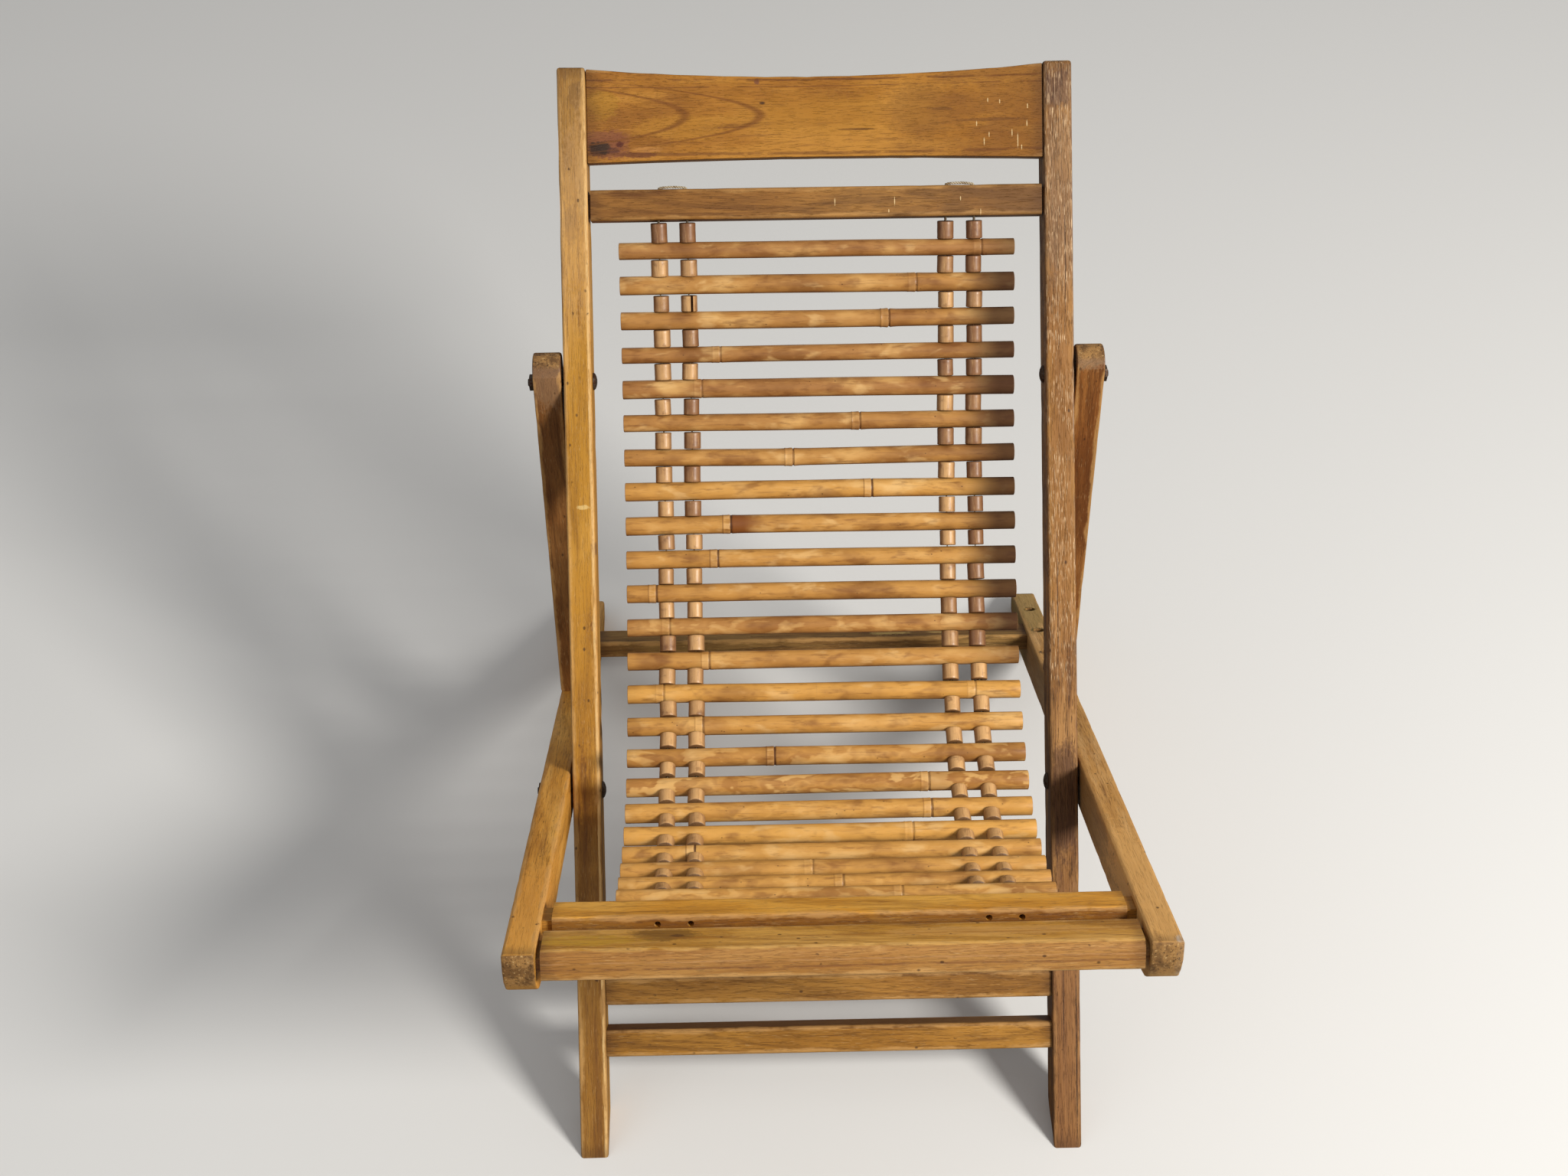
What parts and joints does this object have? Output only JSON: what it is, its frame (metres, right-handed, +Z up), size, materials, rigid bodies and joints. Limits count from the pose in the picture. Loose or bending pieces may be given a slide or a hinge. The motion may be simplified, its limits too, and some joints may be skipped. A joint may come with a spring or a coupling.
{
  "type": "folding recliner",
  "caption": "Folding recliner of two crossing wooden frames with props and peg holes, and a hanging seat and back of bamboo sticks threaded on cords.",
  "frame": {"origin": "on the floor, below the middle of the whole chair's box", "axes": "+Z up, the sitter faces -Y, +X to the right as seen from the front"},
  "size_m": [0.5936, 0.8958, 0.8326],
  "materials": {
    "golden_wood": "satin varnish, golden brown, grain showing, edges worn pale",
    "brown_wood": "satin varnish, warm brown",
    "prop_wood": "dull varnish, dark brown",
    "weathered_wood": "dull and peeling, olive brown",
    "bamboo": "smooth glossy rind, blotchy honey to burnt brown, rings at the nodes",
    "cane_and_cord": "pale cane tubes on a twisted off-white cord",
    "steel": "aged, dull"
  },
  "bodies": {
    "back_frame": {"stile_left": "golden_wood", "stile_right": "golden_wood", "crest_rail": "golden_wood", "mat_rail": "brown_wood", "foot_rail_upper": "brown_wood", "foot_rail_lower": "brown_wood", "main_bolt_left": "steel", "main_nut_left": "steel", "prop_bolt_left": "steel", "prop_nut_left": "steel", "main_bolt_right": "steel", "main_nut_right": "steel", "prop_bolt_right": "steel", "prop_nut_right": "steel", "rail_loop_left": "cane_and_cord", "rail_loop_right": "cane_and_cord"},
    "seat_frame": {"seat_rail_left": "brown_wood", "seat_rail_right": "brown_wood", "seat_front_rail": "golden_wood", "mat_slat": "golden_wood", "rear_stretcher": "weathered_wood", "slat_tie_left": "cane_and_cord", "slat_tie_right": "cane_and_cord"},
    "prop_left": {"prop_left": "prop_wood"},
    "prop_right": {"prop_right": "prop_wood"},
    "mat_upper": {"stick_01": "bamboo", "stick_02": "bamboo", "stick_03": "bamboo", "stick_04": "bamboo", "stick_05": "bamboo", "stick_06": "bamboo", "stick_07": "bamboo", "stick_08": "bamboo", "stick_09": "bamboo", "cord_upper_left_inner": "cane_and_cord", "cord_upper_left_outer": "cane_and_cord", "cord_upper_right_inner": "cane_and_cord", "cord_upper_right_outer": "cane_and_cord"},
    "mat_middle": {"stick_10": "bamboo", "stick_11": "bamboo", "stick_12": "bamboo", "stick_13": "bamboo", "stick_14": "bamboo", "stick_15": "bamboo", "stick_16": "bamboo", "cord_middle_left_inner": "cane_and_cord", "cord_middle_left_outer": "cane_and_cord", "cord_middle_right_inner": "cane_and_cord", "cord_middle_right_outer": "cane_and_cord"},
    "mat_lower": {"stick_17": "bamboo", "stick_18": "bamboo", "stick_19": "bamboo", "stick_20": "bamboo", "stick_21": "bamboo", "stick_22": "bamboo", "stick_23": "bamboo", "cord_lower_left_inner": "cane_and_cord", "cord_lower_left_outer": "cane_and_cord", "cord_lower_right_inner": "cane_and_cord", "cord_lower_right_outer": "cane_and_cord"}
  },
  "joints": [
    {"name": "seat_fold", "type": "hinge", "parent": "back_frame", "child": "seat_frame", "pos_m": [0, -0.07514, 0.27003], "axis": [1, 0, 0], "range_deg": [0, 34]},
    {"name": "prop_left_swing", "type": "hinge", "parent": "back_frame", "child": "prop_left", "pos_m": [0, 0.20316, 0.58459], "axis": [1, 0, 0], "range_deg": [0, 102.3]},
    {"name": "prop_right_swing", "type": "hinge", "parent": "back_frame", "child": "prop_right", "pos_m": [0, 0.20316, 0.58459], "axis": [1, 0, 0], "range_deg": [0, 102.3]},
    {"name": "mat_upper_swing", "type": "hinge", "parent": "back_frame", "child": "mat_upper", "pos_m": [0, 0.28565, 0.68545], "axis": [1, 0, 0], "range_deg": [-11.3, 0]},
    {"name": "mat_middle_swing", "type": "hinge", "parent": "mat_upper", "child": "mat_middle", "pos_m": [0, 0.09198, 0.43679], "axis": [1, 0, 0], "range_deg": [0, 20.2]},
    {"name": "mat_lower_swing", "type": "hinge", "parent": "mat_middle", "child": "mat_lower", "pos_m": [0, -0.12255, 0.3291], "axis": [1, 0, 0], "range_deg": [0, 37.2]}
  ],
  "couplings": [
    {"joint": "prop_left_swing", "follows": "seat_fold", "ratio": 3},
    {"joint": "prop_right_swing", "follows": "seat_fold", "ratio": 3},
    {"joint": "mat_upper_swing", "follows": "seat_fold", "ratio": -0.328},
    {"joint": "mat_middle_swing", "follows": "seat_fold", "ratio": 0.588},
    {"joint": "mat_lower_swing", "follows": "seat_fold", "ratio": 1.085}
  ]
}
